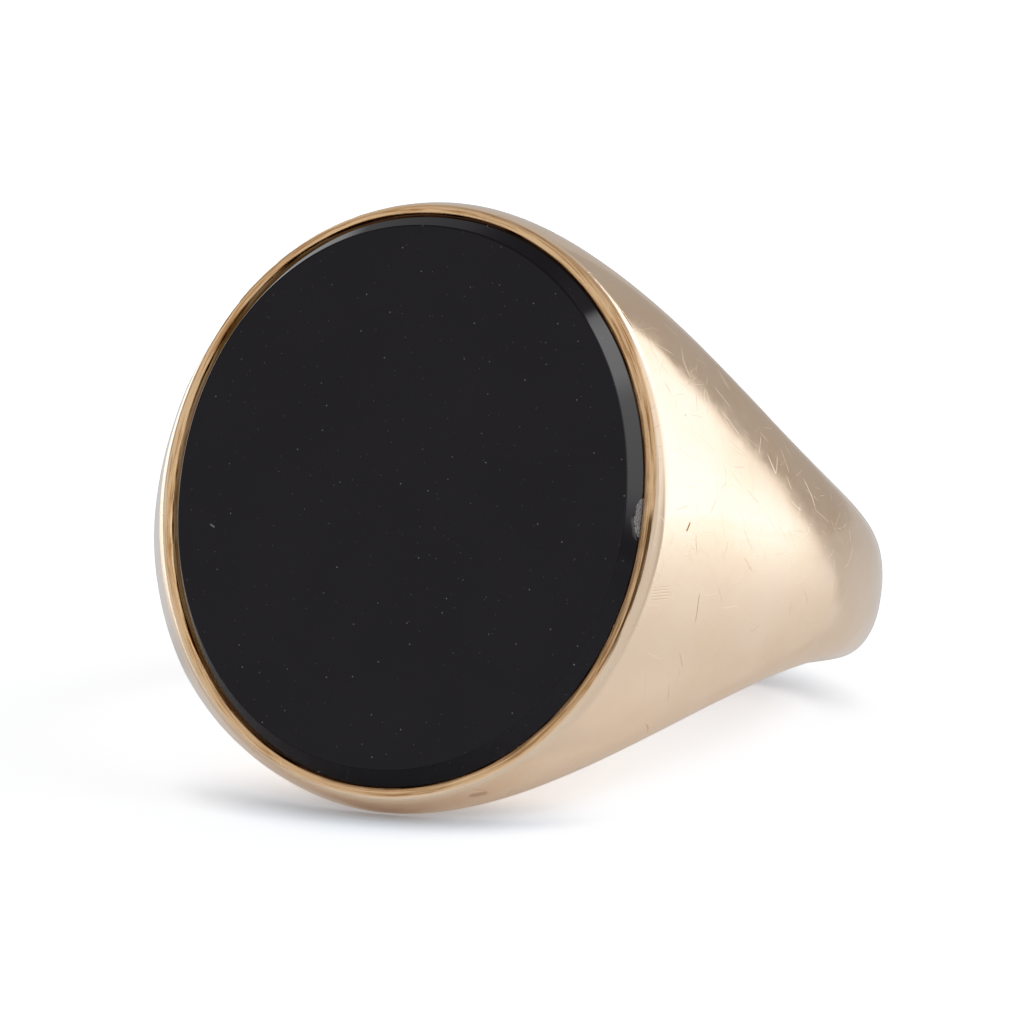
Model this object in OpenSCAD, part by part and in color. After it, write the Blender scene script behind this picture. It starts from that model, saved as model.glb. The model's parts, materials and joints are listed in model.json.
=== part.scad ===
// Gold signet ring with a bevelled oval onyx tablet, lying on its side.
//
// The pieces are worked out in ring coordinates: the finger axis is Z, the face looks
// towards -Y and the origin is the middle of the finger bore. lie_down() then tips them
// all back to the angle at which the ring rests, on the lower end of the head and on the
// bottom edge of the hoop's back.

/* [Finger bore] */
// Inside diameter of the hoop: ring size 56, which is 56 mm round the inside
bore_d = 17.8; // [17.4:0.1:18.2]

/* [Hoop] */
// Thickness of the hoop at its back, on the crown of its D section
hoop_t = 1.33; // [1:0.01:1.6]
// Width of the hoop at its back
hoop_w = 3.74; // [3:0.02:4.6]
// Angle from the face at which the back of the hoop is soldered to the shoulders
joint_angle = 142; // [125:1:155]

/* [Head and shoulders] */
// Rise of the rim's crest above the wall of the bore
head_rise = 1.18; // [1.1:0.01:1.3]
// Length of the head along the finger, at the mouth of the bore
head_l = 17.06; // [16.96:0.02:17.4]
// Rise that the crown of the shoulders would reach at the face if no face were cut
crown_rise = 7.08; // [6.9:0.02:7.5]
// How quickly the crown falls from the face to the hoop
crown_fall = 9.65; // [9.35:0.05:9.85]
// How quickly the width falls from the head to the hoop
width_fall = 3.6; // [3.2:0.05:4.2]
// Fullness of the D section at the shoulders: 2 is an ellipse, and less is leaner
section_n = 1.77; // [1.7:0.01:2]
// Fullness of the D section round the back of the hoop
back_n = 2.4; // [1.8:0.05:2.6]

/* [Stone] */
// Width of the tablet, across the finger
stone_w = 13.64; // [13.4:0.02:13.7]
// Length of the tablet, along the finger
stone_l = 16; // [15.8:0.1:16.1]
// Fullness of the tablet's outline: 2 is an ellipse, and more is fuller
stone_n = 2.05; // [1.95:0.01:2.1]
// Height of the tablet's upright edge, below its bevel
stone_edge_h = 0.6; // [0.4:0.05:0.65]
// Width of the bevel at the sides of the table
bevel_side_w = 0.35; // [0.25:0.01:0.6]
// Width of the bevel at the ends of the table
bevel_end_w = 0.44; // [0.25:0.01:0.6]
// Height of the bevel
bevel_h = 0.48; // [0.3:0.01:0.7]
// How far the tablet sits off the middle of the head, across the finger
stone_off_x = -0.1; // [-0.12:0.01:0]
// How far the tablet sits off the middle of the head, along the finger
stone_off_z = 0.06; // [0:0.01:0.08]

/* [Setting] */
// Depth of the stone's girdle below the crest of the rim
girdle_drop = 0.11; // [0.05:0.01:0.15]
// Gap between the tablet and the wall of the rim
stone_gap = 0.03; // [0.02:0.01:0.05]
// Width of the burnished slope from the crest down to the stone
slope_w = 0.13; // [0.08:0.01:0.16]
// Thickness of the bearer that the tablet rests on
bearer_t = 0.12; // [0.1:0.01:0.2]
// Width of the bearer
bearer_w = 0.8; // [0.5:0.1:1.2]

/* [Hidden] */

bore_r = bore_d / 2;
// The D section starts a little inside the bore's wall, so that the bore cuts it cleanly.
edge_sink = 0.1;
edge_r = bore_r - edge_sink;
// The flat inner side of each section, well inside the bore, is cut away with it.
core_sink = 0.8;
core_r = bore_r - core_sink;
// Where the section's fullness starts and stops growing, as 1 - nearness.
fuller_from = 0.28;
fuller_to = 0.7;
face_h = bore_r + head_rise;
seat_level = -girdle_drop - stone_edge_h;
floor_level = seat_level - bearer_t;
table_level = bevel_h - girdle_drop;
body_steps = 116;
rim_steps = 68;
back_steps = 24;
section_steps = 26;
oval_steps = 108;
// Degrees between the sections of a stretch that is cut away again.
coarse_step = 24;
// How far a cut runs past the face that it opens, in mm or in degrees.
overlap = 1;
// Longer than any side of the ring.
reach = 40;

// How near an angle round the hoop is to the face: 1 at the face, 0 at the back.
function nearness(a) = pow(cos(a / 2), 2);
// Radius of the crown of the section at an angle from the face.
function crown(a) = bore_r + hoop_t + (crown_rise - hoop_t) * pow(nearness(a), crown_fall);
// Half the width of the section at an angle from the face.
function half_w(a) = hoop_w / 2 + (head_l - hoop_w) / 2 * pow(nearness(a), width_fall);
// Fullness of the section at an angle from the face: it grows on the way to the back.
function fullness(a) =
  let (way = (1 - nearness(a) - fuller_from) / (fuller_to - fuller_from))
  let (share = min(max(way, 0), 1))
  section_n + (back_n - section_n) * share * share * (3 - 2 * share);
// Radius and height of a point of the section: t is 0 on the crown and 90 on an edge.
function section_r(a, t) = edge_r + (crown(a) - edge_r) * pow(cos(t), 2 / fullness(a));
function section_z(a, t) = half_w(a) * sign(t) * pow(abs(sin(t)), 2 / fullness(a));
function on_hoop(r, a, z) = [r * sin(a), -r * cos(a), z];
function section_loop(a) = concat(
  [for (j = [0 : section_steps])
    let (t = -90 + 180 * j / section_steps) on_hoop(section_r(a, t), a, section_z(a, t))],
  [on_hoop(core_r, a, half_w(a)), on_hoop(core_r, a, -half_w(a))]
);

// The ring rests where the lowest points of the head's end and of the hoop's back are level.
function head_depth(tilt) = head_l / 2 * cos(tilt) - bore_r * sin(tilt);
function back_depth(tilt) = max([for (t = [0 : 2 : 90])
  if (section_r(180, t) >= bore_r)
    section_r(180, t) * sin(tilt) + section_z(180, t) * cos(tilt)]);
function rest_tilt(lo, hi, left) =
  let (mid = (lo + hi) / 2)
  left == 0 ? mid
  : head_depth(mid) > back_depth(mid) ? rest_tilt(mid, hi, left - 1)
  : rest_tilt(lo, mid, left - 1);
tilt_low = 5;
tilt_high = 45;
tilt_halvings = 24;
tilt = rest_tilt(tilt_low, tilt_high, tilt_halvings);

module lie_down() {
  rotate([-tilt, 0, 0]) children();
}

// Two triangles for each side of the strip between one loop of n points and the next.
function strip(first, next, n) = [for (j = [0 : n - 1])
  let (k = (j + 1) % n)
  each [
    [first * n + j, first * n + k, next * n + j],
    [first * n + k, next * n + k, next * n + j]
  ]];

// A closed solid through loops of points that all have the same number of points.
module lofted(loops) {
  n = len(loops[0]);
  last = len(loops) - 1;
  sides = [for (i = [0 : last - 1]) each strip(i, i + 1, n)];
  first_cap = [for (j = [n - 1 : -1 : 0]) j];
  last_cap = [for (j = [0 : n - 1]) last * n + j];
  polyhedron([for (l = loops) each l], concat(sides, [first_cap, last_cap]));
}

// The outer form of the whole ring. Its sections are close together between two angles
// from the face, and far apart over the rest, which the caller cuts away.
module hoop_form(from, to, steps) {
  coarse = ceil((360 - (to - from)) / coarse_step);
  angles = concat(
    [for (i = [0 : steps]) from + (to - from) * i / steps],
    [for (i = [1 : coarse - 1]) to + (360 + from - to) * i / coarse]
  );
  loops = [for (a = angles) section_loop(a)];
  last = len(loops) - 1;
  n = len(loops[0]);
  sides = [for (i = [0 : last]) each strip(i, i == last ? 0 : i + 1, n)];
  polyhedron([for (l = loops) each l], sides);
}

// The bore, turned a little so that its seam lies between two sections.
module finger_bore() {
  seam_turn = 0.7;
  rotate([0, 0, seam_turn]) cylinder(h = reach, r = bore_r, center = true, $fn = 180);
}

// The wedge between the two soldered joints, which holds the back of the hoop.
module back_sector() {
  x = reach * sin(joint_angle);
  y = -reach * cos(joint_angle);
  linear_extrude(height = reach, center = true) polygon([[0, 0], [x, y], [-x, y]]);
}

// Everything on the face's side of a level, which is measured from the rim's crest.
module above(level) {
  translate([-reach / 2, -face_h - level - reach, -reach / 2]) cube(reach);
}

// A sine or cosine made fuller, for an outline that is a little squarer than an ellipse.
function fuller(share) = sign(share) * pow(abs(share), 2 / stone_n);
// An oval that follows the stone's outline, at a level. It stands off the outline by one
// distance at the sides and by another at the ends.
function oval(side, end, level) = [for (i = [0 : oval_steps - 1])
  let (t = -360 * i / oval_steps)
  [stone_off_x + (stone_w / 2 + side) * fuller(cos(t)),
   -face_h - level,
   stone_off_z + (stone_l / 2 + end) * fuller(sin(t))]];

// A solid through ovals, from the lowest to the highest. Each is given as
// [offset, level], or as [offset at the sides, offset at the ends, level].
module oval_stack(rows) {
  lofted([for (r = rows) oval(r[0], r[len(r) - 2], r[len(r) - 1])]);
}

module ring_body() {
  color("#c9a178")
    lie_down() difference() {
      hoop_form(-joint_angle - overlap, joint_angle + overlap, body_steps);
      finger_bore();
      above(floor_level);
      back_sector();
    }
}

module back_hoop() {
  color("#c49b71")
    lie_down() intersection() {
      difference() {
        hoop_form(joint_angle - overlap, 360 - joint_angle + overlap, back_steps);
        finger_bore();
      }
      back_sector();
    }
}

module bezel_rim() {
  rim_angle = 46;
  color("#d2a877")
    lie_down() difference() {
      hoop_form(-rim_angle, rim_angle, rim_steps);
      above(0);
      translate([0, reach, 0]) above(floor_level);
      oval_stack([
        [stone_gap, floor_level - overlap],
        [stone_gap, -girdle_drop],
        [stone_gap + slope_w, 0],
        [stone_gap + slope_w, overlap]
      ]);
    }
}

module seat_bearer() {
  color("#b98f63")
    lie_down() difference() {
      oval_stack([[stone_gap, floor_level], [stone_gap, seat_level]]);
      oval_stack([[-bearer_w, floor_level - overlap], [-bearer_w, seat_level + overlap]]);
    }
}

module cement_bed() {
  color("#3a2f28")
    lie_down() oval_stack([[-bearer_w, floor_level], [-bearer_w, seat_level]]);
}

module onyx_tablet() {
  arris = 0.06;
  color("#17161a")
    lie_down() oval_stack([
      [-arris, seat_level],
      [0, seat_level + arris],
      [0, -girdle_drop],
      [-bevel_side_w, -bevel_end_w, table_level]
    ]);
}

ring_body();
back_hoop();
bezel_rim();
seat_bearer();
cement_bed();
onyx_tablet();
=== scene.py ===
"""Looks of a gold signet ring with a bevelled onyx tablet, lying on its side on white.

The gold is made as one closed skin, so that its shading runs on unbroken from piece to
piece, and is then parted into the rim, the body and the back of the hoop. Shapes are
worked out in millimetres in ring coordinates: the finger axis is Z and the face looks
towards -Y. to_frame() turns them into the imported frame, in metres.
"""

import json
import math

import bpy
import numpy as np
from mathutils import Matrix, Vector, noise


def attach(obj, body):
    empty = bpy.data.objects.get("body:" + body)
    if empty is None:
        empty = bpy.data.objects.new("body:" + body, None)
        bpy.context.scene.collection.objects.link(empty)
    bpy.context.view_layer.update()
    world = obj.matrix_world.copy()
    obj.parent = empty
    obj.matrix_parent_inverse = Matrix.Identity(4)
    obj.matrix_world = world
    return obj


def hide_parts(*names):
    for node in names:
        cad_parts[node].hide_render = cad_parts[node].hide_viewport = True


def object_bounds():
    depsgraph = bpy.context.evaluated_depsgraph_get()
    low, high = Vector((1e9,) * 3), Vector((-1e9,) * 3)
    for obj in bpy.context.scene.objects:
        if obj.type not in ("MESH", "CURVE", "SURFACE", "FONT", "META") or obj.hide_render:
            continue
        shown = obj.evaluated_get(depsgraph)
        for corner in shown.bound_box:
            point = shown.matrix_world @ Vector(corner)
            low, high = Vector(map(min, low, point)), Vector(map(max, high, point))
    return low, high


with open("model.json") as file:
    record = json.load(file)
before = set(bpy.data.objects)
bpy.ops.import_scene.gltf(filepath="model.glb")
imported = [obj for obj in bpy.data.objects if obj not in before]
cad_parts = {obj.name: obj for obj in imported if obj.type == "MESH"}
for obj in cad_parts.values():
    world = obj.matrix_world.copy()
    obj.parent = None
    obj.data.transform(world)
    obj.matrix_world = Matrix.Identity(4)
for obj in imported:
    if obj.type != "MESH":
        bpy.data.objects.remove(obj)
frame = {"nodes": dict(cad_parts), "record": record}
cad_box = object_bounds()

# -------------------------------- measures, in mm

MM = 0.001
BORE = frame["record"]["mounts"][0]
BORE_R = BORE["dims"]["r_mm"]
HEAD_L = BORE["dims"]["length_mm"]
TILT = math.atan2(BORE["axis"][1], BORE["axis"][2])

HOOP_T = 1.33          # thickness of the hoop at its back
HOOP_W = 3.74          # width of the hoop at its back
JOINT_ANGLE = 142      # where the back of the hoop is soldered on, from the face
HEAD_RISE = 1.18       # rise of the rim's crest above the bore
CROWN_RISE = 7.08      # rise that the shoulders' crown would reach at the face
CROWN_FALL = 9.65      # how quickly the crown falls from the face to the hoop
WIDTH_FALL = 3.6       # how quickly the width falls
SECTION_N = 1.77       # fullness of the D section at the shoulders
BACK_N = 2.4           # and round the back of the hoop
FULLER_FROM = (0.28, 0.7)   # where it goes from the one to the other, as 1 - nearness
EDGE_SINK = 0.1        # how far inside the bore's wall the section starts
SECTION_SOFT = 0.25    # softening of the section's crown, as a share of its half width

STONE_W = 13.64        # tablet across the finger
STONE_L = 16.0         # tablet along the finger
STONE_N = 2.05         # fullness of the tablet's oval
STONE_OFF = (-0.1, 0.06)   # of the tablet's middle from the head's
STONE_EDGE_H = 0.6     # upright edge below the bevel
BEVEL_W = (0.35, 0.44)     # width of the bevel at the sides and at the ends
BEVEL_H = 0.48
TABLE_OFF = (-0.03, 0.02)  # of the table's middle from the tablet's

GIRDLE_DROP = 0.11     # girdle below the crest of the rim
STONE_GAP = 0.03       # between the tablet and the wall of the rim
BEARER_T = 0.12        # thickness of the bearer under the tablet

EDGE_R = BORE_R - EDGE_SINK
FACE_H = BORE_R + HEAD_RISE
SEAT_LEVEL = -GIRDLE_DROP - STONE_EDGE_H
FLOOR_LEVEL = SEAT_LEVEL - BEARER_T

# -------------------------------- the hoop's form


def nearness(phi):
    """How near an angle round the hoop is to the face: 1 at the face, 0 at the back."""
    return np.cos(phi / 2) ** 2


def crown(phi):
    """Radius of the section's crown at an angle from the face."""
    back = BORE_R + HOOP_T
    return back + (CROWN_RISE - HOOP_T) * nearness(phi) ** CROWN_FALL


def half_w(phi):
    """Half the section's width at an angle from the face."""
    return HOOP_W / 2 + (HEAD_L - HOOP_W) / 2 * nearness(phi) ** WIDTH_FALL


def fullness(phi):
    """Fullness of the D section at an angle from the face."""
    low, high = FULLER_FROM
    share = np.clip((1 - nearness(phi) - low) / (high - low), 0, 1)
    return SECTION_N + (BACK_N - SECTION_N) * share * share * (3 - 2 * share)


def raise_s(s, n):
    """The section's |s| to the power n, softened at the crown, from 0 there to 1 at the edge."""
    low = SECTION_SOFT ** n
    top = (1 + SECTION_SOFT ** 2) ** (n / 2)
    return ((s * s + SECTION_SOFT ** 2) ** (n / 2) - low) / (top - low)


def lower_s(g, n):
    """The s whose raise_s is g."""
    low = SECTION_SOFT ** n
    top = (1 + SECTION_SOFT ** 2) ** (n / 2)
    return np.sqrt(np.maximum((low + g * (top - low)) ** (2 / n) - SECTION_SOFT ** 2, 0))


def section_r(phi, s):
    """Radius of the outer surface: s is 0 on the crown and 1 or -1 on an edge."""
    n = fullness(phi)
    return EDGE_R + (crown(phi) - EDGE_R) * (1 - raise_s(s, n)) ** (1 / n)


def section_s(phi, r):
    """The s, not below 0, at which the section has a radius."""
    n = fullness(phi)
    k = np.clip((r - EDGE_R) / (crown(phi) - EDGE_R), 0, 1)
    return lower_s(1 - k ** n, n)


def on_hoop(r, phi, z):
    """A point in ring coordinates."""
    return np.stack([r * np.sin(phi), -r * np.cos(phi), z], -1)


def hoop_point(phi, s):
    """A point of the outer surface."""
    return on_hoop(section_r(phi, s), phi, half_w(phi) * s)


def bisect(low, high, is_past, turns=40):
    """The arguments, between two arrays, at which is_past turns from false to true."""
    low, high = low.copy(), high.copy()
    for _ in range(turns):
        mid = (low + high) / 2
        past = is_past(mid)
        high = np.where(past, mid, high)
        low = np.where(past, low, mid)
    return (low + high) / 2


def level_curve(level, theta):
    """Where the outer surface meets a level of the head, in the directions theta round the
    face: the angles phi and the section's s."""
    height = FACE_H + level
    ones = np.ones_like(theta)
    widest = bisect(0 * ones, math.radians(60) * ones, lambda p: crown(p) * np.cos(p) < height)
    reach_x, reach_z = np.abs(np.cos(theta)), np.abs(np.sin(theta))

    def outside(p):
        x = height * np.tan(p)
        z = half_w(p) * section_s(p, height / np.cos(p))
        return x * reach_z > z * reach_x

    phi = bisect(0 * ones, widest, outside)
    s = section_s(phi, height / np.cos(phi))
    return phi * np.sign(np.cos(theta)), s * np.sign(np.sin(theta))


# -------------------------------- ovals round the stone


def superellipse(half_x, half_z, n, off, theta):
    """Distance from the head's middle to an oval round off, in the directions theta."""
    c, s = np.cos(theta), np.sin(theta)

    def outside(rho):
        x = np.abs((rho * c - off[0]) / half_x)
        z = np.abs((rho * s - off[1]) / half_z)
        return x ** n + z ** n > 1

    return bisect(np.zeros_like(theta), np.full_like(theta, 2 * STONE_L), outside)


def on_face(rho, theta, level):
    """A point over the face, in ring coordinates."""
    height = np.broadcast_to(FACE_H + level, rho.shape)
    return np.stack([rho * np.cos(theta), -height, rho * np.sin(theta)], -1)


# -------------------------------- the gold's skin

SIDE_STEPS = 96                    # steps across the hoop, and along each side of the head
HEAD_ANGLE = math.radians(60)      # where the head's patch of mesh ends
HOOP_STEPS = 100
BACK_STEPS = 90
BORE_STEPS = 44
FILLET_STEPS = 6
MOUTH_ROUND = 0.2                  # rounding of the bore's mouths
SPREAD_STEPS = 30                  # rows of mesh from the rim's seam to the hoop
CORNER_THETA = math.radians(42)    # direction in which the head's patch has its corners

WALL_STEPS = 4
SLOPE_STEPS = 7
CREST_STEPS = 12
FLANK_STEPS = 7
CREST_ROUND = 0.30                 # how far the crest's rounding reaches to each side
LIP = 0.02                         # how far the rim's lip stands over the girdle
LIP_IN = 0.045                     # how far it closes in over the gap round the stone
LIP_WANDER = (0.004, 0.012)        # how far it wanders sideways, and up and down
CREST_END = -CREST_ROUND * 0.8     # level at which the crest's rounding meets the flank


def mouth_s(phi):
    """The section's s at which the rounding of the bore's mouth starts."""
    return section_s(phi, BORE_R + MOUTH_ROUND)


def spread(phi, v):
    """A point of the outer surface: v runs evenly from -1 at one mouth to 1 at the other."""
    return hoop_point(phi, np.sin(v * np.arcsin(mouth_s(phi))))


def bezier(a, b, c, steps):
    """Points of a quadratic curve, without its first."""
    t = np.linspace(0, 1, steps + 1)[1:, None, None]
    return (1 - t) ** 2 * a + 2 * t * (1 - t) * b + t ** 2 * c


def columns():
    """Directions round the face, evenly spaced between the corners of the head's patch."""
    corners = [-CORNER_THETA, CORNER_THETA, math.pi - CORNER_THETA,
               math.pi + CORNER_THETA, 2 * math.pi - CORNER_THETA]
    sides = [np.linspace(a, b, SIDE_STEPS + 1)[:-1] for a, b in zip(corners, corners[1:])]
    return np.concatenate(sides)


def patch_edge():
    """The outer edge of the head's patch, as angles phi and v, column by column."""
    up = np.linspace(-1, 1, SIDE_STEPS + 1)[:-1]
    full = np.ones(SIDE_STEPS)
    phi = np.concatenate([full, -up, -full, up]) * HEAD_ANGLE
    v = np.concatenate([up, full, -up, -full])
    return phi, v


def unevenness(theta, lengths, seed):
    """A smooth wander between about -1 and 1 round the face, the same each run."""
    out = np.zeros_like(theta)
    for length, share in lengths:
        turn = STONE_L / 2 / length
        out += share * np.array([
            noise.noise(Vector((turn * math.cos(t), turn * math.sin(t), seed))) for t in theta])
    return out


def rim_rows(theta):
    """The rim, from the foot of its pocket over the crest to where the flank is plain."""
    wander = unevenness(theta, [(1.1, 1.0), (0.35, 0.6)], 3.1)
    lip_wander = unevenness(theta, [(0.8, 0.8), (0.22, 0.8)], 8.7)
    half_x, half_z = STONE_W / 2 + STONE_GAP, STONE_L / 2 + STONE_GAP
    pocket = superellipse(half_x, half_z, STONE_N, STONE_OFF, theta)
    lip = pocket - LIP_IN + LIP_WANDER[0] * lip_wander
    lip_level = -GIRDLE_DROP + LIP + LIP_WANDER[1] * wander
    rows = [on_face(pocket, theta, level)
            for level in np.linspace(FLOOR_LEVEL, -GIRDLE_DROP - 0.12, WALL_STEPS)]
    rows.append(on_face(pocket - 0.01, theta, lip_level - 0.05))

    phi, s = level_curve(np.float64(0), theta)
    peak = FACE_H * np.hypot(np.tan(phi), half_w(phi) * s / FACE_H)
    corner = on_face(peak, theta, 0.015)
    lip_point = on_face(lip, theta, lip_level)
    rows.append((rows[-1] + 9 * lip_point) / 10)
    rows.append(lip_point)

    width = np.maximum(peak - lip, 0.05)
    inner_share = np.clip(CREST_ROUND / width, 0, 0.66)[:, None]
    crest_start = corner + (lip_point - corner) * inner_share
    bulge = np.array([0.0, -1.0, 0.0]) * 0.012 * (1 + 0.6 * wander[:, None])
    for share in (0.015, *np.linspace(0, 1, SLOPE_STEPS + 1)[1:]):
        swell = 4 * share * (1 - share)
        rows.append(lip_point + (crest_start - lip_point) * share + bulge * swell)
    phi, s = level_curve(np.float64(CREST_END), theta)
    crest_end = hoop_point(phi, s)
    rows.extend(bezier(crest_start, corner, crest_end, CREST_STEPS))
    return rows


def flank_rows(theta):
    """The rim's outer flank, down to the seam where it meets the body."""
    levels = np.linspace(CREST_END, FLOOR_LEVEL, FLANK_STEPS + 1)[1:]
    return [hoop_point(*level_curve(level, theta)) for level in levels]


def shoulder_rows(theta):
    """From the rim's seam out to the edge of the head's patch, the seam left out."""
    phi_in, s_in = level_curve(np.float64(FLOOR_LEVEL), theta)
    v_in = np.arcsin(s_in) / np.arcsin(mouth_s(phi_in))
    phi_out, v_out = patch_edge()
    rows = []
    for k in range(1, SPREAD_STEPS + 1):
        share = k / SPREAD_STEPS
        share = share * (0.6 + 0.4 * share)
        rows.append(spread(phi_in + (phi_out - phi_in) * share, v_in + (v_out - v_in) * share))
    return rows


def mouth_and_bore_rows(phi):
    """One mouth's rounding, the bore's wall and the other mouth's rounding."""
    s = mouth_s(phi)
    r = section_r(phi, s)
    step = 1e-4
    slope = half_w(phi) * step / (section_r(phi, s + step) - r)
    z = half_w(phi) * s
    mouth = z + slope * (BORE_R - r)
    rows = []
    for side in (1, -1):
        curve = bezier(on_hoop(r, phi, side * z), on_hoop(BORE_R, phi, side * mouth),
                       on_hoop(BORE_R, phi, side * (mouth - MOUTH_ROUND)), FILLET_STEPS)
        rows.append([on_hoop(r, phi, side * z), *curve])
    wall = [rows[0][-1] + (rows[1][-1] - rows[0][-1]) * k / BORE_STEPS
            for k in range(1, BORE_STEPS)]
    return [*rows[0], *wall, *rows[1][::-1]]


class Skin:
    """Quads gathered patch by patch, with points that meet joined into one."""

    def __init__(self):
        self.points, self.quads, self.regions = [], [], []
        self.count = 0

    def add(self, rows, region, closed):
        """A patch through rows of points. region names each band of quads between rows."""
        grid = np.array(rows)
        n_rows, n = grid.shape[:2]
        index = np.arange(n_rows * n).reshape(n_rows, n) + self.count
        after = np.roll(index, -1, 1) if closed else index[:, 1:]
        here = index if closed else index[:, :-1]
        quads = np.stack([here[:-1], here[1:], after[1:], after[:-1]], -1)
        names = np.array([region] * (n_rows - 1)) if isinstance(region, str) else np.array(region)
        self.points.append(grid.reshape(-1, 3))
        self.quads.append(quads.reshape(-1, 4))
        self.regions.append(np.repeat(names, quads.shape[1]))
        self.count += n_rows * n
        return index

    def weld(self):
        """Joins points that are the same to a ten thousandth of a millimetre."""
        points = np.concatenate(self.points)
        key = np.round(points * 1e4).astype(np.int64)
        _, first, inverse = np.unique(key, axis=0, return_index=True, return_inverse=True)
        inverse = inverse.ravel()
        quads = inverse[np.concatenate(self.quads)]
        return points[first], quads, np.concatenate(self.regions), inverse


def gold_skin():
    """The whole outside of the gold: points, quads, each quad's region, and the loops of
    points along which the pieces part."""
    theta = columns()
    skin = Skin()
    rim = rim_rows(theta)
    flank = flank_rows(theta)
    shoulder = shoulder_rows(theta)
    n_rim = len(rim) + len(flank)
    bands = ["rim"] * (n_rim - 1) + ["body"] * len(shoulder)
    head = skin.add([*rim, *flank, *shoulder], bands, closed=True)

    joint = math.radians(JOINT_ANGLE)
    v = np.linspace(-1, 1, SIDE_STEPS + 1)
    right = np.linspace(HEAD_ANGLE, joint, HOOP_STEPS + 1)
    back = np.linspace(joint, 2 * math.pi - joint, BACK_STEPS + 1)
    top = np.linspace(-HEAD_ANGLE, HEAD_ANGLE, SIDE_STEPS + 1)
    left = np.linspace(-joint, -HEAD_ANGLE, HOOP_STEPS + 1)
    for region, phis in (("body", right), ("back", back), ("body", left)):
        skin.add([spread(np.full_like(v, phi), v) for phi in phis], region, closed=False)
    for region, phis in (("body", np.concatenate([left, top[1:], right[1:]])), ("back", back)):
        rows = mouth_and_bore_rows(phis)
        skin.add([row[::-1] for row in rows], region, closed=False)
    points, quads, regions, joined = skin.weld()
    loops = {"pocket": joined[head[0]], "seam": joined[head[n_rim - 1]]}
    return points, quads, regions, loops


def to_frame(points):
    """Ring coordinates in millimetres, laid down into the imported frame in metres."""
    c, s = math.cos(TILT), math.sin(TILT)
    x, y, z = points.T
    return np.stack([x, y * c + z * s, -y * s + z * c], -1) * MM


def smooth_normals(points, *groups):
    """Unit normals of the points, weighted by the area round them. Each group holds faces
    with the same number of corners: three or four."""
    normals = np.zeros_like(points)
    for group in groups:
        corners = [points[group[:, k]] for k in range(group.shape[1])]
        if len(corners) == 4:
            face = np.cross(corners[2] - corners[0], corners[3] - corners[1])
        else:
            face = np.cross(corners[1] - corners[0], corners[2] - corners[0])
        for k in range(group.shape[1]):
            np.add.at(normals, group[:, k], face)
    return normals / np.linalg.norm(normals, axis=1, keepdims=True)


# -------------------------------- the gold's pieces

WAVES = ((0.22, 0.012), (0.6, 0.0045), (1.3, 0.001))   # of wear: waves per mm, height in mm
LEFT_LEAN = (0.045, 0.12)   # how much leaner the left flank is, in mm, and its top as well


def worn(points, normals):
    """The skin's points with the soft waves of long wear and the lean of the left flank."""
    shift = np.zeros(len(points))
    for scale, height in WAVES:
        shift += height * np.array([noise.noise(Vector(p) * scale) for p in points])
    left = np.clip((-points[:, 0] - 2) / 4, 0, 1) * np.clip((-points[:, 1] - 2) / 3, 0, 1)
    below = np.clip((FACE_H + 0.05 + points[:, 1]) / 0.3, 0, 1)
    lean = LEFT_LEAN[0] * np.clip((points[:, 2] + 3) / 5, 0, 1)
    lean += LEFT_LEAN[1] * np.clip((points[:, 2] - 3) / 3, 0, 1)
    shift -= lean * left * (0.3 + 0.7 * below)
    inside = np.hypot(points[:, 0] - STONE_OFF[0], points[:, 2] * STONE_W / STONE_L)
    shift[(inside < STONE_W / 2 + 0.3) & (points[:, 1] < -BORE_R)] = 0
    bore = np.hypot(points[:, 0], points[:, 1]) < BORE_R + 0.02
    shift[bore] = 0
    return points + normals * shift[:, None]


def fan(loop, points, toward):
    """Triangles that close a loop of points, round a new point in their middle. They face
    in the direction toward."""
    middle = points[loop].mean(0)
    n = len(points)
    after = np.roll(loop, -1)
    triangles = np.stack([loop, after, np.full(len(loop), n)], 1)
    face = np.cross(points[after] - points[loop], middle - points[loop]).sum(0)
    if face @ toward < 0:
        triangles = triangles[:, ::-1]
    return np.vstack([points, middle]), triangles


def piece(name, points, polygons, normals, material, node):
    """A smooth mesh object from polygons, given with a normal for each of their corners."""
    used, packed = np.unique(np.concatenate(polygons), return_inverse=True)
    sizes = [len(p) for p in polygons]
    faces = np.split(packed, np.cumsum(sizes)[:-1])
    mesh = bpy.data.meshes.new(name)
    mesh.from_pydata(to_frame(points[used]).tolist(), [], [f.tolist() for f in faces])
    mesh.polygons.foreach_set("use_smooth", [True] * len(mesh.polygons))
    turned = to_frame(np.concatenate(normals)) / MM
    mesh.normals_split_custom_set(turned.tolist())
    mesh.materials.append(material)
    made = bpy.data.objects.new(name, mesh)
    bpy.context.scene.collection.objects.link(made)
    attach(made, "root")
    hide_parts(node)


def gold_piece(name, points, normals, quads, caps, material, node):
    """One piece of gold: its share of the skin, and flat caps where it meets the others."""
    polygons = list(quads)
    corner_normals = list(normals[quads])
    for triangles in caps:
        a, b, c = (points[triangles[:, k]] for k in range(3))
        flat = np.cross(b - a, c - a).sum(0)
        flat = flat / np.linalg.norm(flat)
        polygons.extend(triangles)
        corner_normals.extend(np.broadcast_to(flat, (len(triangles), 3, 3)))
    piece(name, points, polygons, corner_normals, material, node)


def section_loop(points, quads, regions, phi):
    """The points on the cut through the hoop at an angle, in order round the section."""
    body = np.unique(quads[regions == "body"])
    shared = np.intersect1d(body, np.unique(quads[regions == "back"]))
    x, y, z = points[shared].T
    side = np.sign(x) == np.sign(math.sin(phi))
    shared, depth, z = shared[side], np.hypot(x, y)[side] - BORE_R, z[side]
    return shared[np.argsort(np.arctan2(depth - HOOP_T / 3, z))]


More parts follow.
